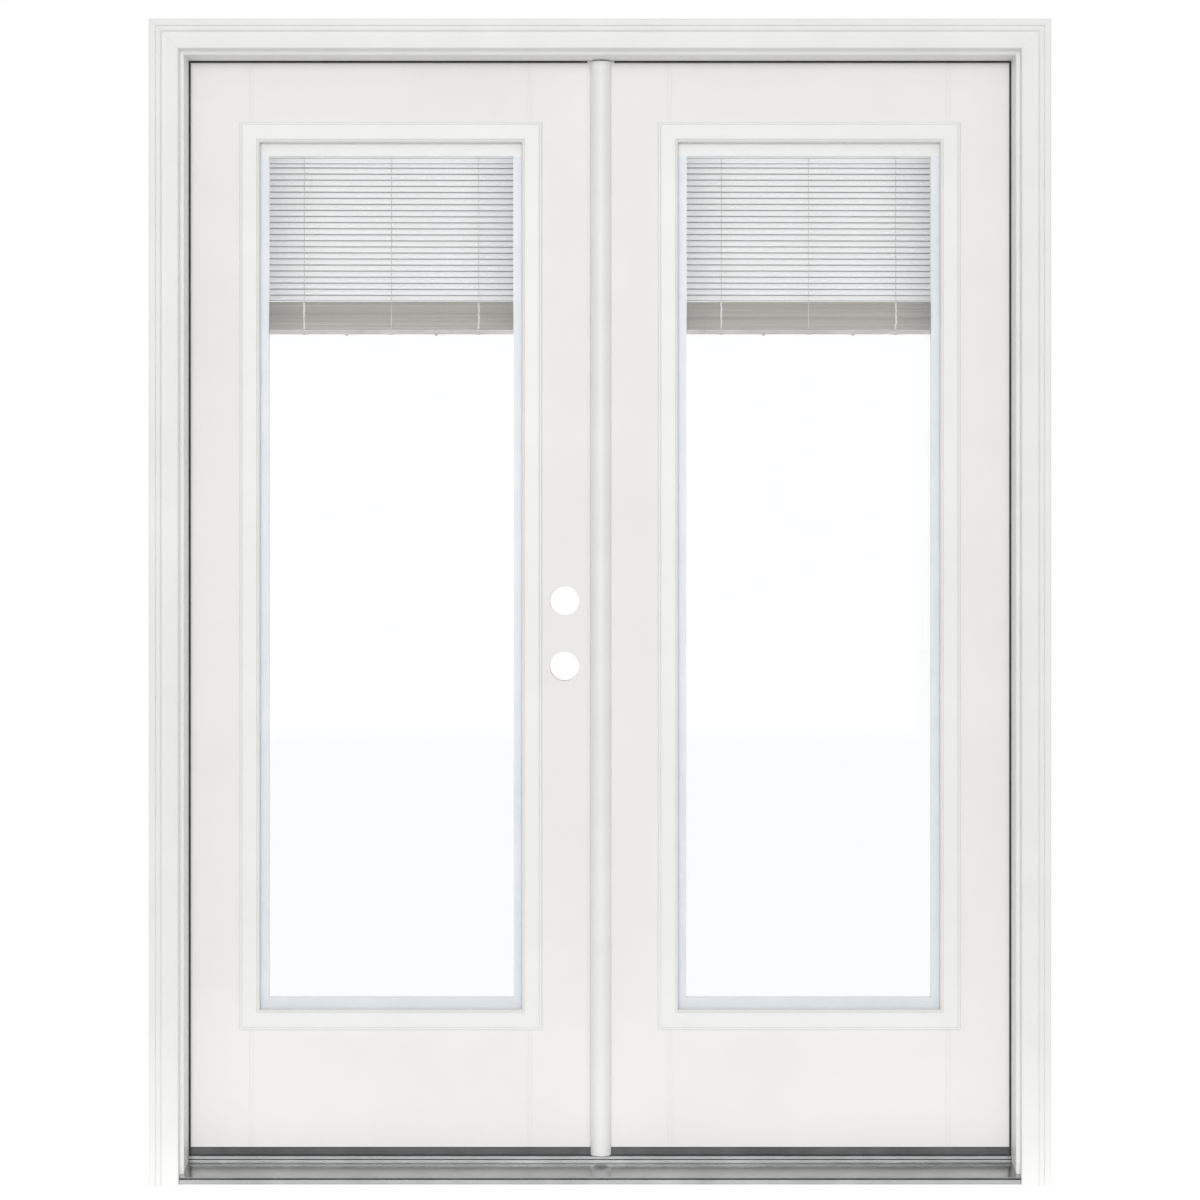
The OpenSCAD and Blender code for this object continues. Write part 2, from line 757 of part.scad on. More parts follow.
// A crowned slat in section, level, with its crown up and its middle at the origin
module slat_outline() {
    translate([0, slat_sag / 2]) intersection() {
        translate([0, -slat_crown_r]) difference() {
            circle(slat_crown_r + slat_t, $fn = 96);
            circle(slat_crown_r, $fn = 96);
        }
        translate([-slat_w / 2, -3]) square([slat_w, 6]);
    }
}

module hanging_slats(side) {
    color("#f7f7f7") handed(side) for (k = [0:slats_hanging - 1])
        translate([0, mid_y, first_slat_z - k * slat_pitch])
            along_x([mid_x - slat_len / 2, mid_x + slat_len / 2]) rotate(slat_tilt) slat_outline();
}

module ladder_places() {
    for (x = [-ladder_x, 0, ladder_x]) translate([mid_x + x, mid_y, 0]) children();
}

// The slats that lie gathered on the bottom rail, edge over edge
module gathered_slats(side) {
    teeth = floor(stack_h / 2);
    step = stack_h / teeth;
    half = slat_w / 2;
    edge = [for (k = [0:teeth - 1], p = [0, 0.35, 0.65]) [half - (p == 0 ? 0.5 : 0), (k + p) * step]];
    color("#a9a49f") handed(side) difference() {
        along_x([mid_x - slat_len / 2, mid_x + slat_len / 2]) translate([mid_y, rail_top])
            polygon(concat([[half - 0.5, 0]], [for (p = edge) if (p[1] > 0) p], [[half - 0.5, stack_h]],
                [for (k = [len(edge) - 1:-1:1]) [-edge[k][0], edge[k][1]]], [[0.5 - half, 0]]));
        ladder_places() block([-1.5, 1.5], [-cord_hole_y, cord_hole_y], [rail_top - over, stack_top + over]);
    }
}

module bottom_rail(side) {
    color("#c9c6c2") handed(side) {
        block([mid_x - slat_len / 2, mid_x + slat_len / 2], [mid_y - 6.4, mid_y + 6.4], [rail_z, rail_top]);
        for (x = [-bumper_x, bumper_x])
            translate([mid_x + x, mid_y, rail_z - bumper_h]) cylinder(r = 3, h = bumper_h);
    }
}

module cords(side) {
    color("#d8d8d8") handed(side) ladder_places() for (y = [-cord_off, cord_off])
        translate([0, y, rail_top]) cylinder(r = cord_r, h = blind_top - rail_top, $fn = 16);
}

// Sweep under the leaf: a base with two barbs up and four fins down
module sweep(side) {
    x = [lock_x + stile_w + 0.5, hinge_x - stile_w - 0.5];
    base = [leaf_z - 3, leaf_z];
    color("#55565a") handed(side) {
        block([lock_x + 1, hinge_x - 1], [out_y + 1, in_y - 1], base);
        for (barb = sweep_barbs) block(x, [barb - 1.5 + fit, barb + 1.5 - fit], [leaf_z - over, leaf_z + 8]);
        for (fin = [0:3]) {
            y = out_y + 1.4 + fin * (leaf_t - 5) / 3;
            block([lock_x + 1, hinge_x - 1], [y, y + 2.2], [cap_z + 0.5, leaf_z - 3 + over]);
        }
    }
}

module leaf_screws(side) {
    color(alloy) handed(side) {
        lite_screw_places(screw_seat_y) screw(lite_screw_l);
        screws_in_plate(hinge_x, 90) screw(hinge_screw_l);
        if (side == right) astragal_screw_places() screw(hinge_screw_l);
    }
}

// ---- astragal, on the right-hand leaf ----

module astragal_screw_places() {
    for (up = [420, 760, 1240, 1560])
        translate([stem_x, mid_y, leaf_z + up * leaf_h / 2014]) rotate([0, -90, 0]) children();
}

module strike_holes(x) {
    for (z = bore_zs) block(x, [mid_y - 8, mid_y + 8], [z - 15, z + 15]);
}

module strike_recesses(x) {
    for (z = bore_zs) block(x, [mid_y - 13, mid_y + 13], [z - 28, z + 28]);
}

module bolt_grooves() {
    low = stem_z + bolt_len + 2 * bolt_travel;
    high = stem_top - bolt_len - bolt_travel;
    groove_x = [stem_x - over, stem_x + bolt_t + 2 * slide_gap];
    groove_y = [bolt_y[0] - slide_gap, bolt_y[1] + slide_gap];
    block(groove_x, groove_y, [stem_z - over, low]);
    block(groove_x, groove_y, [high, stem_top + over]);
}

module astragal() {
    r = astragal_w / 2;
    lap_y = out_y - astragal_gap;
    crown_y = lap_y - astragal_side;
    color(mould_white) difference() {
        union() {
            upright([flange_z, flange_top]) {
                intersection() {
                    translate([astragal_x, crown_y]) circle(r, $fn = 96);
                    translate([astragal_x - r - over, crown_y - r - over])
                        square([2 * r + 2 * over, r + over]);
                }
                translate([astragal_x - r, crown_y]) square([2 * r, lap_y - crown_y]);
                translate([stem_x, lap_y - over]) square([astragal_x + r - stem_x, astragal_gap + over]);
            }
            block([stem_x, lock_x], [out_y - over, in_y - 2], [stem_z, stem_top]);
        }
        bolt_grooves();
        strike_holes([stem_x - over, lock_x + over]);
        strike_recesses([stem_x - over, stem_x + keeper_t]);
        astragal_screw_places() screw(hinge_screw_l);
    }
}

module astragal_seal() {
    low_x = astragal_x - astragal_w / 2 + 2.4;
    color(seal_black)
        block([low_x, low_x + 8], [out_y - astragal_gap, strip_stop], [flange_z + 3, flange_top - 3]);
}

// A flat bolt that slides in the stem's edge, with a ridge for the thumb
module bolt(z, ridge_z) {
    color(alloy) {
        block([stem_x + slide_gap, stem_x + slide_gap + bolt_t], bolt_y, z);
        block([stem_x - 1.4, stem_x + slide_gap + over], [bolt_y[0] + 2, bolt_y[1] - 2],
              [ridge_z, ridge_z + 14]);
    }
}

module top_bolt() {
    bolt([stem_top - 0.5 - bolt_len, stem_top - 0.5], stem_top - bolt_len + 20);
}

module bottom_bolt() {
    bolt([stem_z + 0.5, stem_z + 0.5 + bolt_len], stem_z + bolt_len - 34);
}

module strike_plates() {
    color(alloy) difference() {
        strike_recesses([stem_x, stem_x + keeper_t]);
        strike_holes([stem_x - over, stem_x + keeper_t + over]);
    }
}

jamb(left);  // jamb_left
jamb(right);  // jamb_right
jamb_head();
casing_leg(left);  // casing_left
casing_leg(right);  // casing_right
casing_head();
weatherstrips();
sill_substrate();
sill_deck();
sill_cap();
corner_pads();
hinge_frame_leaves();
hinge_pins();
frame_screws();
bolt_keepers();
outer_skin(left);  // active_outer_skin
inner_skin(left);  // active_inner_skin
hinge_stile(left);  // active_hinge_stile
lock_stile(left);  // active_lock_stile
rails(left);  // active_rails
lock_block(left);  // active_lock_block
core(left);  // active_core
lite_frame_outer(left);  // active_lite_frame_outer
lite_frame_inner(left);  // active_lite_frame_inner
panes(left);  // active_panes
blind_channels(left);  // active_blind_channels
hanging_slats(left);  // active_hanging_slats
gathered_slats(left);  // active_gathered_slats
bottom_rail(left);  // active_bottom_rail
cords(left);  // active_cords
lift_slider(left);  // active_lift_slider
tilt_slider(left);  // active_tilt_slider
sweep(left);  // active_sweep
leaf_hinges(left);  // active_hinge_leaves
leaf_screws(left);  // active_screws
outer_skin(right);  // passive_outer_skin
inner_skin(right);  // passive_inner_skin
hinge_stile(right);  // passive_hinge_stile
lock_stile(right);  // passive_lock_stile
rails(right);  // passive_rails
lock_block(right);  // passive_lock_block
core(right);  // passive_core
lite_frame_outer(right);  // passive_lite_frame_outer
lite_frame_inner(right);  // passive_lite_frame_inner
panes(right);  // passive_panes
blind_channels(right);  // passive_blind_channels
hanging_slats(right);  // passive_hanging_slats
gathered_slats(right);  // passive_gathered_slats
bottom_rail(right);  // passive_bottom_rail
cords(right);  // passive_cords
lift_slider(right);  // passive_lift_slider
tilt_slider(right);  // passive_tilt_slider
sweep(right);  // passive_sweep
leaf_hinges(right);  // passive_hinge_leaves
leaf_screws(right);  // passive_screws
astragal();
astragal_seal();
top_bolt();
bottom_bolt();
strike_plates();
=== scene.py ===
# French doors: a pre-hung pair of white inswing leaves with blinds sealed between their panes.
import json
import math
import random

import bmesh
import bpy
from mathutils import Matrix, Vector


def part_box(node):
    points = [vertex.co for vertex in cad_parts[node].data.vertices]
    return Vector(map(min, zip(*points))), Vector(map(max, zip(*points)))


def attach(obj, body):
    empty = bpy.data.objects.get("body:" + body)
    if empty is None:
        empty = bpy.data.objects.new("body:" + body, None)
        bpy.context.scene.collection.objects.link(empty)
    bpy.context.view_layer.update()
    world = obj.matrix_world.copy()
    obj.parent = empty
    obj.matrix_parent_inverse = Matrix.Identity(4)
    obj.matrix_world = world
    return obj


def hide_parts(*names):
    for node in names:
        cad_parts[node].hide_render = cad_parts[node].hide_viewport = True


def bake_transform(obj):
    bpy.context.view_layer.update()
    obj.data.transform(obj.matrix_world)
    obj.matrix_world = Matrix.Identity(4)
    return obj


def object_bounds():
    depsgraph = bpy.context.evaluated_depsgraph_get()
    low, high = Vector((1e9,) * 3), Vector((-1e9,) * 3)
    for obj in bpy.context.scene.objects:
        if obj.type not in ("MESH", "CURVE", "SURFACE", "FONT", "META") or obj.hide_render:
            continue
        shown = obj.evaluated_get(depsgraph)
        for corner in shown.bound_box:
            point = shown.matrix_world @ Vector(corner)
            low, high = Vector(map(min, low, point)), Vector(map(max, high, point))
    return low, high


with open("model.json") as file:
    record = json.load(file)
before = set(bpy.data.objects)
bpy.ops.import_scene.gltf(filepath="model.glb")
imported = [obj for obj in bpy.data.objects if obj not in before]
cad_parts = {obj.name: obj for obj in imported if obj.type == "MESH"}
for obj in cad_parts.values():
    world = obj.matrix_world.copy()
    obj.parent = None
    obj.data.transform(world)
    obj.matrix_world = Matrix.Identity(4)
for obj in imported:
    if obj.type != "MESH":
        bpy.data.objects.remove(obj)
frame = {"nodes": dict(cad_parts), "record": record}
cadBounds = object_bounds()
scene = bpy.context.scene
mm = 0.001


view = {
    "distance": 5.613,       # from the front of the casing
    "height": 1.0635,
    "lens": 92.8,
    "sensor": 36.0,
    "reach": 200.0,
}


def makeCamera():
    lens = bpy.data.cameras.new("viewLens")
    lens.lens = view["lens"]
    lens.sensor_width = view["sensor"]
    lens.clip_end = view["reach"]
    camera = bpy.data.objects.new("viewCamera", lens)
    camera.location = (0.0, cadBounds[0][1] - view["distance"], view["height"])
    camera.rotation_euler = (math.radians(90.0), 0.0, 0.0)
    scene.collection.objects.link(camera)
    scene.camera = camera


makeCamera()
print("camera placed")


def linearColour(code, alpha=1.0):
    # sRGB hex to the linear colour that a shader wants
    parts = [int(code[i:i + 2], 16) / 255.0 for i in (1, 3, 5)]
    return tuple(c / 12.92 if c <= 0.04045 else ((c + 0.055) / 1.055) ** 2.4 for c in parts) + (alpha,)


def addNode(tree, kind, settings=None, links=None):
    # a node with its properties or inputs set, and its inputs linked
    node = tree.nodes.new(kind)
    for name, value in (settings or {}).items():
        if isinstance(name, str) and hasattr(node, name):
            setattr(node, name, value)
        else:
            node.inputs[name].default_value = value
    for name, source in (links or {}).items():
        tree.links.new(source, node.inputs[name])
    return node


def newMaterial(name, colour, roughness, metallic=0.0, **more):
    material = bpy.data.materials.new(name)
    material.use_nodes = True
    shader = material.node_tree.nodes["Principled BSDF"]
    shader.inputs["Base Color"].default_value = linearColour(colour)
    shader.inputs["Roughness"].default_value = roughness
    shader.inputs["Metallic"].default_value = metallic
    for key, value in more.items():
        shader.inputs[key].default_value = value
    return material, material.node_tree, shader


def rampColours(tree, source, dark, light, span):
    # dark to light over this span about the middle of the source's range
    ramp = addNode(tree, "ShaderNodeValToRGB", {}, {"Fac": source})
    places = (0.5 - span / 2, 0.5 + span / 2)
    for element, place, colour in zip(ramp.color_ramp.elements, places, (dark, light)):
        element.position = place
        element.color = linearColour(colour)
    return ramp.outputs["Color"]


mixPlaces = {"colours": (6, 7), "result": 2}  # sockets of a Mix node that mixes colours


def mixColours(tree, factor, first, second):
    # first where the factor is 0, second where it is 1; each is a socket or an sRGB code
    mix = addNode(tree, "ShaderNodeMix", {"data_type": "RGBA"}, {0: factor})
    for place, colour in zip(mixPlaces["colours"], (first, second)):
        if isinstance(colour, str):
            mix.inputs[place].default_value = linearColour(colour)
        else:
            tree.links.new(colour, mix.inputs[place])
    return mix.outputs[mixPlaces["result"]]


def raiseBump(tree, shader, source, heightMm, strength=1.0, softEdgeMm=0.0):
    # relief from a source; softEdgeMm eases the edges of the piece
    bump = addNode(tree, "ShaderNodeBump", {"Strength": strength, "Distance": heightMm * mm},
                   {"Height": source})
    if softEdgeMm:
        bevel = addNode(tree, "ShaderNodeBevel", {"samples": 4, "Radius": softEdgeMm * mm})
        tree.links.new(bevel.outputs["Normal"], bump.inputs["Normal"])
    tree.links.new(bump.outputs["Normal"], shader.inputs["Normal"])


def mottle(tree, shader, light, dark, cellMm, span=0.35):
    # a slow change of colour over the surface, from dark to light
    where = addNode(tree, "ShaderNodeTexCoord")
    cells = {"Scale": 1.0 / (cellMm * mm), "Detail": 3.0, "Roughness": 0.55}
    noise = addNode(tree, "ShaderNodeTexNoise", cells, {"Vector": where.outputs["Object"]})
    tree.links.new(rampColours(tree, noise.outputs["Fac"], dark, light, span), shader.inputs["Base Color"])
    return where


def grainBump(tree, shader, where, cellMm, heightMm, stretch=(1.0, 1.0, 1.0), detail=4.0, softEdgeMm=0.0):
    # a fine relief; a stretch below 1 lengthens it along that axis
    mapping = addNode(tree, "ShaderNodeMapping", {"Scale": stretch}, {"Vector": where.outputs["Object"]})
    noise = addNode(tree, "ShaderNodeTexNoise", {"Scale": 1.0 / (cellMm * mm), "Detail": detail},
                    {"Vector": mapping.outputs["Vector"]})
    raiseBump(tree, shader, noise.outputs["Fac"], heightMm, softEdgeMm=softEdgeMm)
    return noise


def varyRoughness(tree, shader, noise, low, high):
    sheen = addNode(tree, "ShaderNodeMapRange", {"To Min": low, "To Max": high},
                    {"Value": noise.outputs["Fac"]})
    tree.links.new(sheen.outputs["Result"], shader.inputs["Roughness"])


def paintedTrim():
    # rolled satin enamel on primed wood: a soft sheen over a faint orange peel 2.5 mm across
    material, tree, shader = newMaterial("satin_enamel_on_wood", "#f2f2f1", 0.42)
    where = mottle(tree, shader, "#f4f4f3", "#efefed", 160.0)
    noise = grainBump(tree, shader, where, 2.5, 0.05, softEdgeMm=0.9)
    varyRoughness(tree, shader, noise, 0.38, 0.48)
    return material


def compositeSkin():
    # compression-moulded polyester: even and matt, with a faint moulded grain 4 mm long up the leaf
    material, tree, shader = newMaterial("moulded_polyester_skin", "#f2f1ef", 0.5)
    where = mottle(tree, shader, "#f4f3f1", "#f0efed", 240.0)
    noise = grainBump(tree, shader, where, 1.6, 0.05, (1.0, 1.0, 0.35), softEdgeMm=0.5)
    varyRoughness(tree, shader, noise, 0.45, 0.56)
    return material


def mouldedLite():
    # injection-moulded polypropylene: slightly waxy, with a spark-eroded texture 1.2 mm across
    material, tree, shader = newMaterial("moulded_polypropylene", "#f4f4f1", 0.38, IOR=1.49)
    where = mottle(tree, shader, "#f5f5f2", "#f1f1ed", 120.0)
    noise = grainBump(tree, shader, where, 1.2, 0.035, softEdgeMm=0.9)
    varyRoughness(tree, shader, noise, 0.33, 0.43)
    return material


def bareTimber():
    # laminated pine, planed: long grain up the leaf with rings about 6 mm apart
    material, tree, shader = newMaterial("planed_laminated_pine", "#d3b484", 0.55)
    where = addNode(tree, "ShaderNodeTexCoord")
    mapping = addNode(tree, "ShaderNodeMapping", {"Scale": (1.0, 1.0, 0.03)},
                      {"Vector": where.outputs["Object"]})
    grain = addNode(tree, "ShaderNodeTexNoise", {"Scale": 1.0 / (6.0 * mm), "Detail": 6.0, "Distortion": 0.8},
                    {"Vector": mapping.outputs["Vector"]})
    rings = rampColours(tree, grain.outputs["Fac"], "#b98f5b", "#dcc193", 0.3)
    tree.links.new(rings, shader.inputs["Base Color"])
    raiseBump(tree, shader, grain.outputs["Fac"], 0.1, strength=0.6)
    return material


def rigidFoam():
    # cut polyurethane foam: open cells about 1.5 mm across, drawn coarse enough to show
    material, tree, shader = newMaterial("cut_polyurethane_foam", "#efe6b8", 0.9)
    where = mottle(tree, shader, "#f2ebc4", "#e0d49c", 30.0)
    cells = addNode(tree, "ShaderNodeTexVoronoi", {"Scale": 1.0 / (1.5 * mm)},
                    {"Vector": where.outputs["Object"]})
    raiseBump(tree, shader, cells.outputs["Distance"], 0.4)
    return material


def clearGlass():
    # float glass: mostly open, with a breath of blue and a sharp reflection
    material, tree, shader = newMaterial("clear_float_glass", "#e9f1f6", 0.03, IOR=1.52, Alpha=0.06)
    where = addNode(tree, "ShaderNodeTexCoord")
    wave = addNode(tree, "ShaderNodeTexNoise", {"Scale": 1.0 / (420.0 * mm), "Detail": 1.0},
                   {"Vector": where.outputs["Object"]})
    raiseBump(tree, shader, wave.outputs["Fac"], 0.15)
    return material


def slatEnamel():
    # coil-coated aluminium: even white enamel, with painted shade along both edges of each slat, where it
    # tucks under its neighbour
    material, tree, shader = newMaterial("coil_coated_aluminium", "#fbfbfb", 0.35)
    paintedShade = addNode(tree, "ShaderNodeAttribute", {"attribute_name": "paintedShade"})
    where = addNode(tree, "ShaderNodeTexCoord")
    film = addNode(tree, "ShaderNodeTexNoise", {"Scale": 1.0 / (90.0 * mm), "Detail": 2.0},
                   {"Vector": where.outputs["Object"]})
    face = mixColours(tree, film.outputs["Fac"], "#ffffff", "#f7f8f8")
    # the layer's painted shade darkens the white towards this grey-brown
    tree.links.new(mixColours(tree, paintedShade.outputs["Fac"], face, "#544b45"), shader.inputs["Base Color"])
    raiseBump(tree, shader, film.outputs["Fac"], 0.03, strength=0.3)
    return material


def railEnamel():
    # roll-formed aluminium, enamelled: a little glossier than the slats
    material, tree, shader = newMaterial("enamelled_rail", "#bdb8b3", 0.33)
    where = mottle(tree, shader, "#c6c2bd", "#b1aca6", 60.0)
    grainBump(tree, shader, where, 1.5, 0.03, (0.1, 1.0, 1.0), softEdgeMm=0.5)
    return material


def channelEnamel():
    # roll-formed aluminium: pale blue-white enamel on the channels, plain white on the head rail above them
    material, tree, shader = newMaterial("pale_enamel_channel", "#f0f4f9", 0.36)
    where = mottle(tree, shader, "#f3f6fa", "#ebf0f6", 90.0)
    parts = addNode(tree, "ShaderNodeSeparateXYZ", {}, {"Vector": where.outputs["Object"]})
    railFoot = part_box("active_cords")[1][2]
    fade = 0.5 * mm
    isRail = addNode(tree, "ShaderNodeMapRange", {"From Min": railFoot, "From Max": railFoot + fade},
                     {"Value": parts.outputs["Z"]})
    bluish = shader.inputs["Base Color"].links[0].from_socket
    blend = mixColours(tree, isRail.outputs["Result"], bluish, "#f8f7f5")
    tree.links.new(blend, shader.inputs["Base Color"])
    grainBump(tree, shader, where, 1.2, 0.03, (1.0, 1.0, 0.05), softEdgeMm=0.5)
    return material


def braidedCord(name, dark, light):
    # braided polyester, about 1 mm thick: the braid is drawn at about 4 mm a turn, coarser than the real one
    material, tree, shader = newMaterial(name, light, 0.8)
    where = addNode(tree, "ShaderNodeTexCoord")
    turns = {"bands_direction": "Z", "Scale": 1.0 / (2.0 * mm) / 6.283, "Distortion": 2.0}
    braid = addNode(tree, "ShaderNodeTexWave", turns, {"Vector": where.outputs["Object"]})
    tree.links.new(rampColours(tree, braid.outputs["Fac"], dark, light, 1.0), shader.inputs["Base Color"])
    raiseBump(tree, shader, braid.outputs["Fac"], 0.2)
    return material


def foamSeal():
    # urethane foam in a black film: matt, with soft dimples 3 mm across
    material, tree, shader = newMaterial("black_film_foam_seal", "#3a3a3c", 0.72)
    where = mottle(tree, shader, "#434345", "#303032", 40.0)
    grainBump(tree, shader, where, 3.0, 0.25)
    return material


def sweepVinyl():
    # extruded soft vinyl, dark grey: fine draw lines along the door
    material, tree, shader = newMaterial("extruded_grey_vinyl", "#5a5b5e", 0.5)
    where = mottle(tree, shader, "#626366", "#4e4f52", 70.0)
    grainBump(tree, shader, where, 0.9, 0.08, (0.04, 1.0, 1.0))
    return material


def millAluminium():
    # extruded aluminium, mill finish: draw lines along the sill, drawn 1 mm apart so that they show
    material, tree, shader = newMaterial("mill_finish_aluminium", "#bcbdbe", 0.3, 1.0)
    where = mottle(tree, shader, "#c2c3c3", "#aaabab", 80.0, 0.5)
    lines = grainBump(tree, shader, where, 1.0, 0.02, (0.01, 1.0, 1.0), 2.0, softEdgeMm=0.4)
    varyRoughness(tree, shader, lines, 0.17, 0.24)
    return material


def pressedWood():
    # resin-bonded wood composite: brown-grey, flecked with strands 5 mm across
    material, tree, shader = newMaterial("resin_wood_composite", "#8d867c", 0.75)
    where = mottle(tree, shader, "#9a9388", "#787066", 5.0, 0.6)
    grainBump(tree, shader, where, 3.0, 0.3)
    return material


def platedSteel():
    # satin nickel plate on steel: brushed upright, with lines drawn 0.8 mm apart so that they show
    material, tree, shader = newMaterial("satin_nickel_plate", "#c2bdb4", 0.3, 1.0)
    where = mottle(tree, shader, "#c8c3ba", "#b5b0a7", 25.0)
    lines = grainBump(tree, shader, where, 0.8, 0.03, (1.0, 1.0, 0.03), 5.0, softEdgeMm=0.4)
    varyRoughness(tree, shader, lines, 0.24, 0.36)
    return material


def shadowVoid():
    # painted shade for the dark recess of a driver socket
    material, tree, shader = newMaterial("painted_socket_shade", "#4a4744", 0.6, 1.0)
    where = mottle(tree, shader, "#54514d", "#3a3835", 2.0)
    grainBump(tree, shader, where, 0.6, 0.05)
    return material


finish = {
    "moulding": paintedTrim(),
    "slab": compositeSkin(),
    "lite": mouldedLite(),
    "timber": bareTimber(),
    "foam": rigidFoam(),
    "glass": clearGlass(),
    "blind_white": slatEnamel(),
    "blind_rail": railEnamel(),
    "blind_channel": channelEnamel(),
    # the taut ladder cords are darker than the slack ones: painted shade on the thin hanging cords
    "cord": braidedCord("taut_cord_painted_shade", "#95928e", "#cfccc8"),
    "slackCord": braidedCord("slack_polyester_cord", "#d9d6d2", "#fbfaf8"),
    "seal": foamSeal(),
    "sweep": sweepVinyl(),
    "sill": millAluminium(),
    "substrate": pressedWood(),
    "steel": platedSteel(),
    "socket": shadowVoid(),
}
slotOfNode = {part["node"]: part["material_slot"] for part in frame["record"]["subparts"]}


def dressCad():
    for node, obj in frame["nodes"].items():
        look = finish["blind_rail" if node.endswith("bottom_rail") else slotOfNode[node]]
        if not obj.material_slots:
            obj.data.materials.append(look)
        for slot in obj.material_slots:
            slot.material = look


dressCad()
print("materials made")

blind = {
    "slatWidth": 12.5 * mm,
    "slatThick": 0.22 * mm,
    "crownRadius": 20.0 * mm,
    "tilt": 70.0,            # degrees from level, closed
    "pitch": 11.24 * mm,
    "firstPitch": 7.3 * mm,  # the top slat is tucked up against the head rail
    "hanging": 23,
    "edgeShadeStart": 0.78,        # where the painted edge shade begins, from the middle of a slat to its edges
    "edgeShadeGain": 2.0,          # how soon the painted edge shade is full
    "segments": 12,          # across a slat
    "bays": 4,               # along a slat
    "droop": 1.0 * mm,       # how far a slat dips towards one end
}
stack = {
    "step": 0.49 * mm,       # from slat to slat
    "slatWidth": 11.4 * mm,
    "slip": 0.55 * mm,       # how unevenly the slats lie, front to back
    "sway": 0.9 * mm,        # and how much their ends rise or dip
    "margin": 0.8 * mm,      # left free under the lowest slat and over the topmost
    "shift": 0.45,           # chance that a slat starts a new shade and sway
    "shade": (0.25, 0.95),
    "shadeWeight": 0.6,      # the rest of a slat's painted shade grows up the bundle
    "shadeRise": 0.25,
}
lifted = {                   # the slat that rests half turned on the bundle
    "rise": 5.9 * mm,
    "tilt": 64.0,
    "droop": 0.6 * mm,
}
cord = {
    "ladderX": (-161.7 * mm, 0.0, 161.7 * mm),
    "radius": 0.45 * mm,
    "steps": 40,
    "sides": 8,
}
bunch = {                    # slack ladder gathered in front of the stack
    "radius": (2.6 * mm, 1.2 * mm, 2.6 * mm),
    "coreShare": 0.4,        # of the radius
    "steps": 26,
    "sway": 0.5,             # to either side, of the radius
    "fold": (0.55, 0.95),    # size of a fold, of the radius
    "flat": (1.0, 0.45, 0.7),
    "proud": 0.5 * mm,
    "topGap": 1.0 * mm,
}
plug = {"radius": 2.0 * mm, "rise": 3.0 * mm}  # in the underside of the bottom rail


def makeObject(name, mesh, materials, smooth=True):
    obj = bpy.data.objects.new(name, mesh)
    scene.collection.objects.link(obj)
    for material in materials:
        mesh.materials.append(material)
    if smooth:
        for face in mesh.polygons:
            face.use_smooth = True
    return obj


def slatSection(width, tilt, lift):
    # points across one crowned slat, as (depth, height, place) from its middle; place runs from -1 to 1
    half, radius, count = width / 2, blind["crownRadius"], blind["segments"]
    sag = half * half / (2 * radius)
    turn = math.radians(tilt)
    section = []
    for step in range(count + 1):
        along = -half + 2 * half * step / count
        crown = sag / 2 - (along * along) / (2 * radius) + lift
        section.append((along * math.cos(turn) - crown * math.sin(turn),
                        along * math.sin(turn) + crown * math.cos(turn), along / half))
    return section


def addSlat(bm, paintedShade, left, right, depth, height, width, tilt, droop, shade=None):
    # one slat with its thickness; the layer holds its painted shade: along both edges where slats overlap, or
    # one painted shade all over
    skins = []
    for lift in (blind["slatThick"] / 2, -blind["slatThick"] / 2):
        rows = []
        for bay in range(blind["bays"] + 1):
            share = bay / blind["bays"]
            row = []
            for back, up, place in slatSection(width, tilt, lift):
                along = left + (right - left) * share
                vert = bm.verts.new((along, depth + back, height + up - droop * share))
                # painted shade grows over the outer part of the slat, towards both edges
                edgeShadeRamp = (abs(place) - blind["edgeShadeStart"]) / (1.0 - blind["edgeShadeStart"])
                vert[paintedShade] = min(max(edgeShadeRamp * blind["edgeShadeGain"], 0.0), 1.0) if shade is None else shade
                row.append(vert)
            rows.append(row)
        skins.append(rows)
    top, low = skins
    for rows, flip in ((top, False), (low, True)):
        for a, b in zip(rows, rows[1:]):
            for k in range(blind["segments"]):
                quad = (a[k], b[k], b[k + 1], a[k + 1])
                bm.faces.new(quad[::-1] if flip else quad)
    for k in range(blind["segments"]):
        bm.faces.new((top[0][k], top[0][k + 1], low[0][k + 1], low[0][k]))
        bm.faces.new((top[-1][k + 1], top[-1][k], low[-1][k], low[-1][k + 1]))
    for a, b, c, d in zip(top, top[1:], low, low[1:]):
        bm.faces.new((b[0], a[0], c[0], d[0]))
        bm.faces.new((a[-1], b[-1], d[-1], c[-1]))


def finishMesh(bm, name, materials, smooth=True):
    mesh = bpy.data.meshes.new(name)
    bm.to_mesh(mesh)
    bm.free()
    return makeObject(name, mesh, materials, smooth)


def blendEvenly(obj):
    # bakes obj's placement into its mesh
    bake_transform(obj)


def makeHangingSlats(who, left, right, depth):
    node = who + "_hanging_slats"
    rise = blind["slatWidth"] * math.sin(math.radians(blind["tilt"]))
    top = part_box(node)[1][2] - rise / 2
    for k in range(blind["hanging"]):
        height = top
        if k:
            height -= blind["firstPitch"] + (k - 1) * blind["pitch"]
        bm = bmesh.new()
        paintedShade = bm.verts.layers.float.new("paintedShade")
        droop = blind["droop"] * min(k, 1)  # the top slat is held level
        addSlat(bm, paintedShade, left, right, depth, height, blind["slatWidth"], blind["tilt"], droop)
        slat = finishMesh(bm, f"{who}_slat_{k + 1}", [finish["blind_white"]])
        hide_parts(node)
        blendEvenly(slat)


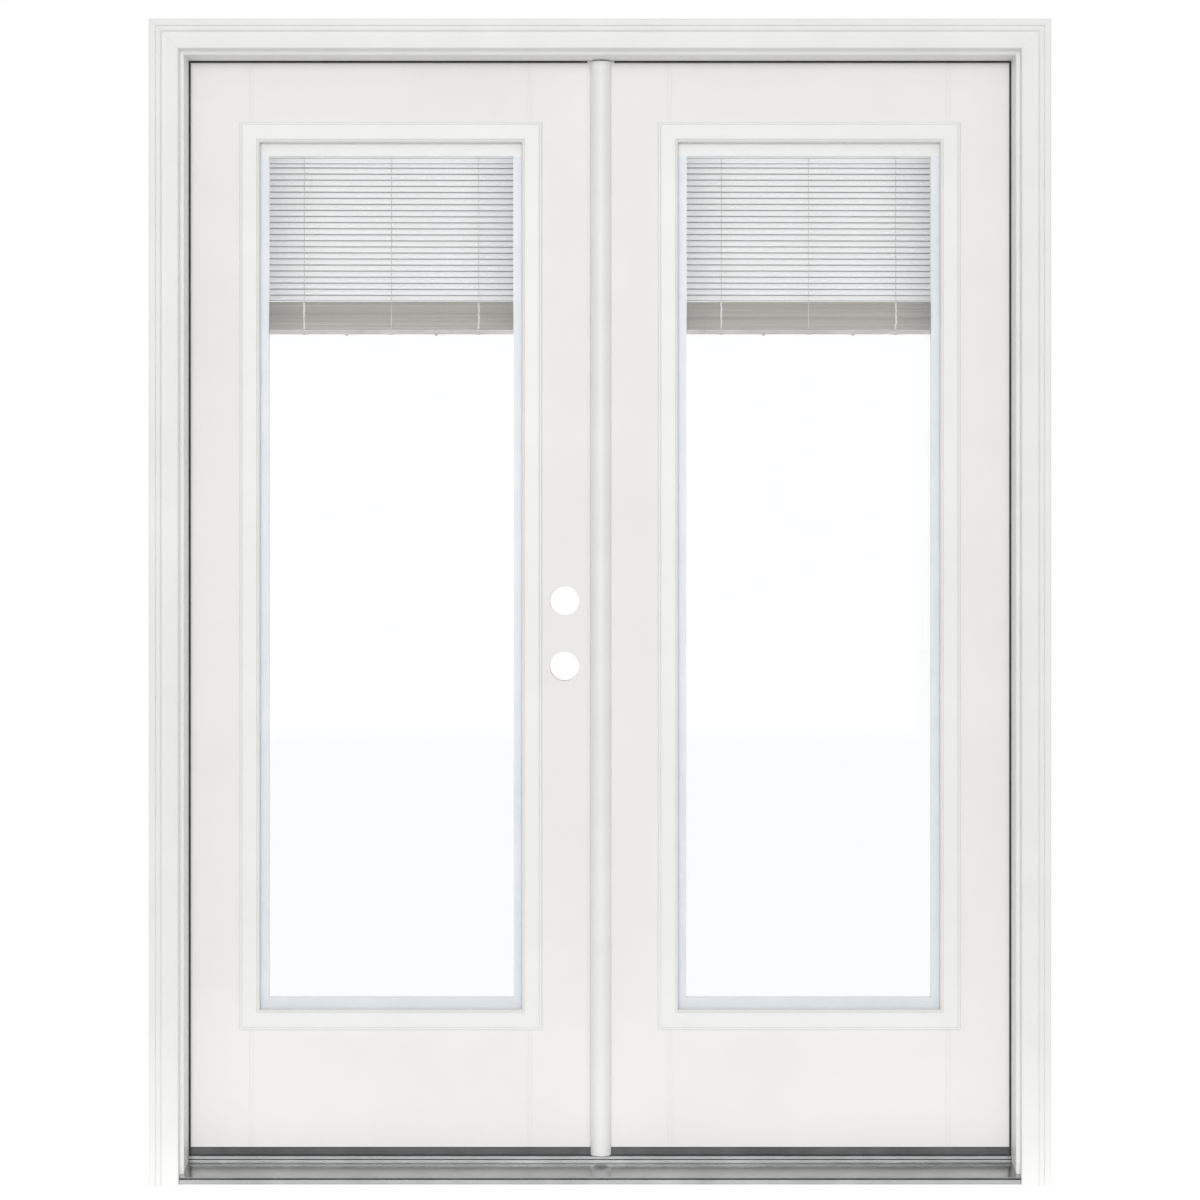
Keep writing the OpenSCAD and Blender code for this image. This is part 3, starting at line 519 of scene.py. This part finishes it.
def makeGatheredSlats(who, left, right, depth):
    # slats lying on one another, each a little out of line, and one on top still half turned
    node = who + "_gathered_slats"
    low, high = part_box(node)
    chance = random.Random(11 if who == "active" else 12)
    bm = bmesh.new()
    paintedShade = bm.verts.layers.float.new("paintedShade")
    count = int((high[2] - low[2] - 2 * stack["margin"]) / stack["step"])
    shade, sway = 0.5, 0.0
    for k in range(count):
        if chance.random() < stack["shift"]:
            shade = chance.uniform(*stack["shade"])
            sway = chance.uniform(-stack["sway"], stack["sway"])
        ends = sway * min(k, count - 1 - k) / (count / 2)
        height = low[2] + stack["margin"] + k * stack["step"] + ends / 2
        # painted shade on the white slats: a random amount for each run of slats, more towards the top of the
        # bundle
        dark = shade * stack["shadeWeight"] + stack["shadeRise"] * k / count
        place = depth + chance.uniform(-1, 1) * stack["slip"]
        addSlat(bm, paintedShade, left, right, place, height, stack["slatWidth"], 0.0, ends, dark)
    bundle = finishMesh(bm, who + "_gathered", [finish["stack"]])
    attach(bundle, who + "_blind")
    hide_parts(node)
    bm = bmesh.new()
    paintedShade = bm.verts.layers.float.new("paintedShade")
    addSlat(bm, paintedShade, left, right, depth, high[2] + lifted["rise"], blind["slatWidth"], lifted["tilt"],
            lifted["droop"])
    slat = finishMesh(bm, who + "_lifted_slat", [finish["blind_white"]])
    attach(slat, who + "_blind")


def tube(bm, points, radius):
    sides, rings = cord["sides"], []
    turns = [2 * math.pi * s / sides for s in range(sides)]
    for x, y, z in points:
        rings.append([bm.verts.new((x + radius * math.cos(turn), y + radius * math.sin(turn), z))
                      for turn in turns])
    for a, b in zip(rings, rings[1:]):
        for s in range(sides):
            bm.faces.new((a[s], a[(s + 1) % sides], b[(s + 1) % sides], b[s]))
    bm.faces.new(rings[0][::-1])
    bm.faces.new(rings[-1])


def makeCords(who, middle, depth):
    # ladder cords in front of and behind the slats
    node = who + "_cords"
    low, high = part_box(node)
    offset = (high[1] - low[1]) / 2 - cord["radius"]
    steps = cord["steps"]
    for name, x in zip(("left", "middle", "right"), cord["ladderX"]):
        bm = bmesh.new()
        for side in (-1, 1):
            points = [(middle + x, depth + side * offset, low[2] + (high[2] - low[2]) * s / steps)
                      for s in range(steps + 1)]
            tube(bm, points, cord["radius"])
        line = finishMesh(bm, f"{who}_cord_{name}", [finish["cord"]])
        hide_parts(node)
        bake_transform(line)


def makeCordEnds(who, middle, depth, stackLow, stackHigh, railFoot):
    # the slack ladder bunched in front of the stack, and a grey plug under the bottom rail
    chance = random.Random(21)
    flat = Matrix.Diagonal((*bunch["flat"], 1.0))
    rise = stackHigh[2] - stackLow[2] - bunch["topGap"]
    count = bunch["steps"]
    for name, x, radius in zip(("left", "middle", "right"), cord["ladderX"], bunch["radius"]):
        bm = bmesh.new()
        points = []
        for s in range(count + 1):
            sway = chance.uniform(-bunch["sway"], bunch["sway"]) * radius
            points.append((middle + x + sway, stackLow[1] - bunch["proud"], stackLow[2] + rise * s / count))
        tube(bm, points, radius * bunch["coreShare"])
        for s in range(1, count):
            bmesh.ops.create_icosphere(bm, subdivisions=2, radius=radius * chance.uniform(*bunch["fold"]),
                                       matrix=Matrix.Translation(points[s]) @ flat)
        slack = finishMesh(bm, f"{who}_cord_bunch_{name}", [finish["slackCord"]])
        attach(slack, who + "_blind")
        bm = bmesh.new()
        bmesh.ops.create_icosphere(bm, subdivisions=2, radius=plug["radius"],
                                   matrix=Matrix.Translation((middle + x, depth, railFoot)))
        stopper = finishMesh(bm, f"{who}_cord_plug_{name}", [finish["sweep"]])
        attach(stopper, who + "_blind")


def gatheredSlatShade():
    # slats lying edge over edge: the grey-brown is painted shade between the stacked white slats, as much as
    # the layer holds
    material, tree, shader = newMaterial("gathered_slats_painted_shade", "#c6bfb7", 0.5)
    paintedShade = addNode(tree, "ShaderNodeAttribute", {"attribute_name": "paintedShade"})
    tree.links.new(mixColours(tree, paintedShade.outputs["Fac"], "#fbf7f1", "#b4aaa1"), shader.inputs["Base Color"])
    return material


finish["stack"] = gatheredSlatShade()

for who in ("active", "passive"):
    slatLow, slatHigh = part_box(who + "_hanging_slats")
    stackLow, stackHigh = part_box(who + "_gathered_slats")
    depth = (stackLow[1] + stackHigh[1]) / 2
    middle = (slatLow[0] + slatHigh[0]) / 2
    makeHangingSlats(who, slatLow[0], slatHigh[0], depth)
    makeGatheredSlats(who, slatLow[0], slatHigh[0], depth)
    makeCords(who, middle, depth)
    makeCordEnds(who, middle, depth, stackLow, stackHigh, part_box(who + "_bottom_rail")[0][2] + plug["rise"])
print("blinds made")

sillLines = {
    "nose": (8.75 * mm, 11.15 * mm),    # z of the groove along the nose
    "noseDepth": (0.4 * mm, 1.2 * mm),  # front and back of its strip of painted shade, from the front of the deck
    "noseEnd": 0.5 * mm,     # gap at either end
    "joint": (30.8 * mm, 32.6 * mm),    # z of the strip of painted shade under the lip of the cap
    "jointDepth": 0.5 * mm,
    "jointEnd": 0.3 * mm,
}


def makeStrip(name, low, high):
    bm = bmesh.new()
    bmesh.ops.create_cube(bm, size=1.0)
    for vert in bm.verts:
        vert.co = Vector([a + (b - a) * (c + 0.5) for a, b, c in zip(low, high, vert.co)])
    strip = finishMesh(bm, name, [finish["seal"]], smooth=False)
    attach(strip, "frame")


def makeSillLines():
    # dark strips of painted shade, in the seal's black, in the groove of the nose and under the cap's lip
    low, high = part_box("sill_deck")
    foot, top = sillLines["nose"]
    front, back = sillLines["noseDepth"]
    makeStrip("nose_groove_shade", (low[0] + sillLines["noseEnd"], low[1] + front, foot),
              (high[0] - sillLines["noseEnd"], low[1] + back, top))
    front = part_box("sill_cap")[0][1]
    foot, top = sillLines["joint"]
    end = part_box("jamb_left")[1][0] + sillLines["jointEnd"]
    makeStrip("cap_lip_shade", (end, front, foot), (-end, front + sillLines["jointDepth"], top))


makeSillLines()
print("sill lines made")

socket = {
    "length": 3.8 * mm,
    "width": 0.9 * mm,
    "proud": 0.03 * mm,
    "depth": 0.6 * mm,
    "leastHead": 3.0 * mm,   # radius by which the head end of a screw is told
    "endDepth": 0.05 * mm,   # points this near an end belong to it
    "weld": 0.001 * mm,
}


def meshIslands(mesh):
    # the separate screws of one node, each as a list of points
    bm = bmesh.new()
    bm.from_mesh(mesh)
    left = set(bm.verts)
    while left:
        island, edge = set(), [left.pop()]
        while edge:
            vert = edge.pop()
            island.add(vert)
            for link in vert.link_edges:
                other = link.other_vert(vert)
                if other in left:
                    left.remove(other)
                    edge.append(other)
        yield [vert.co.copy() for vert in island]
    bm.free()


def makeSockets(node, body):
    # a cross of painted shade on the head of every screw, standing for the driver recess
    source = frame["nodes"][node].data.copy()
    welded = bmesh.new()
    welded.from_mesh(source)
    bmesh.ops.remove_doubles(welded, verts=welded.verts, dist=socket["weld"])
    welded.to_mesh(source)
    welded.free()
    bm = bmesh.new()
    for points in meshIslands(source):
        low = [min(p[k] for p in points) for k in range(3)]
        high = [max(p[k] for p in points) for k in range(3)]
        axis = max(range(3), key=lambda k: high[k] - low[k])
        across = [k for k in range(3) if k != axis]
        middle = [(a + b) / 2 for a, b in zip(low, high)]
        for end, outward in ((low[axis], -1.0), (high[axis], 1.0)):
            reach = max([math.hypot(*(p[k] - middle[k] for k in across)) for p in points
                         if abs(p[axis] - end) < socket["endDepth"]])
            if reach < socket["leastHead"]:
                continue
            for longWay, shortWay in (across, across[::-1]):
                size, place = [0.0] * 3, list(middle)
                size[longWay], size[shortWay], size[axis] = socket["length"], socket["width"], socket["depth"]
                place[axis] = end + outward * (socket["proud"] - socket["depth"] / 2)
                made = bmesh.ops.create_cube(bm, size=1.0)["verts"]
                for vert in made:
                    vert.co = Vector([c + v * d for c, v, d in zip(place, vert.co, size)])
    crosses = finishMesh(bm, node + "_sockets", [finish["socket"]], smooth=False)
    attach(crosses, body)


makeSockets("frame_screws", "frame")
makeSockets("active_screws", "active_leaf")
makeSockets("passive_screws", "passive_leaf")
print("screw sockets made")

studio = {
    "floorWhite": 1.0,       # glow of the floor behind and beside the doors
    "floorShade": 0.45,      # glow of the floor well in front of them
    "floorFade": (-0.14, -0.6),  # y where it starts to fall off, and where it ends
    "floorSize": 60.0,
    "floorDrop": 0.5 * mm,
    "backSky": 1.02,         # behind the doors
    "sideSky": 0.2,          # level with the doors, to either side
    "frontSky": 0.86,        # facing the doors
    "skyTurn": (0.1, 0.5),   # how far a direction points behind the doors as the sky turns white
    "keyPlace": (-0.2, -6.5, 2.0),
    "keyTarget": (0.0, 0.0, 1.1),
    "keySize": 3.0,
    "keyPower": 148.0,
}


def makeFloor():
    # a pale floor that glows white behind the doors and falls off to grey in front of them
    bm = bmesh.new()
    bmesh.ops.create_grid(bm, x_segments=1, y_segments=1, size=studio["floorSize"])
    mesh = bpy.data.meshes.new("studioFloor")
    bm.to_mesh(mesh)
    bm.free()
    material, tree, shader = newMaterial("pale_studio_floor", "#3c3c3c", 0.9)
    shader.inputs["Specular IOR Level"].default_value = 0.0
    where = addNode(tree, "ShaderNodeTexCoord")
    parts = addNode(tree, "ShaderNodeSeparateXYZ", {}, {"Vector": where.outputs["Object"]})
    near, far = studio["floorFade"]
    fall = {"interpolation_type": "SMOOTHSTEP", "From Min": far, "From Max": near,
            "To Min": studio["floorShade"], "To Max": studio["floorWhite"]}
    glow = addNode(tree, "ShaderNodeMapRange", fall, {"Value": parts.outputs["Y"]})
    shader.inputs["Emission Color"].default_value = linearColour("#ffffff")
    tree.links.new(glow.outputs["Result"], shader.inputs["Emission Strength"])
    floor = makeObject("studioFloor", mesh, [material], smooth=False)
    floor.location.z = -studio["floorDrop"]


def makeSky():
    # white behind the doors; in front of them brightest face on and dimmer to the sides, to shade the relief
    world = bpy.data.worlds.new("studioSky")
    world.use_nodes = True
    scene.world = world
    tree = world.node_tree
    where = addNode(tree, "ShaderNodeTexCoord")
    parts = addNode(tree, "ShaderNodeSeparateXYZ", {}, {"Vector": where.outputs["Generated"]})
    rise = {"From Min": 0.0, "From Max": -1.0, "To Min": studio["sideSky"], "To Max": studio["frontSky"]}
    front = addNode(tree, "ShaderNodeMapRange", rise, {"Value": parts.outputs["Y"]})
    start, end = studio["skyTurn"]
    behind = addNode(tree, "ShaderNodeMapRange", {"From Min": start, "From Max": end},
                     {"Value": parts.outputs["Y"]})
    blend = addNode(tree, "ShaderNodeMix", {"data_type": "FLOAT"},
                    {0: behind.outputs["Result"], 2: front.outputs["Result"]})
    blend.inputs[3].default_value = studio["backSky"]
    sky = tree.nodes["Background"]
    sky.inputs["Color"].default_value = linearColour("#ffffff")
    tree.links.new(blend.outputs[0], sky.inputs["Strength"])


def makeLamp(name, place, target, size, power):
    lamp = bpy.data.lights.new(name, "AREA")
    lamp.shape = "SQUARE"
    lamp.size = size
    lamp.energy = power
    obj = bpy.data.objects.new(name, lamp)
    obj.location = place
    obj.rotation_euler = (Vector(target) - Vector(place)).to_track_quat("-Z", "Y").to_euler()
    scene.collection.objects.link(obj)


makeFloor()
makeSky()
makeLamp("keySoftbox", studio["keyPlace"], studio["keyTarget"], studio["keySize"], studio["keyPower"])
scene.view_settings.view_transform = "Standard"
print("studio made")
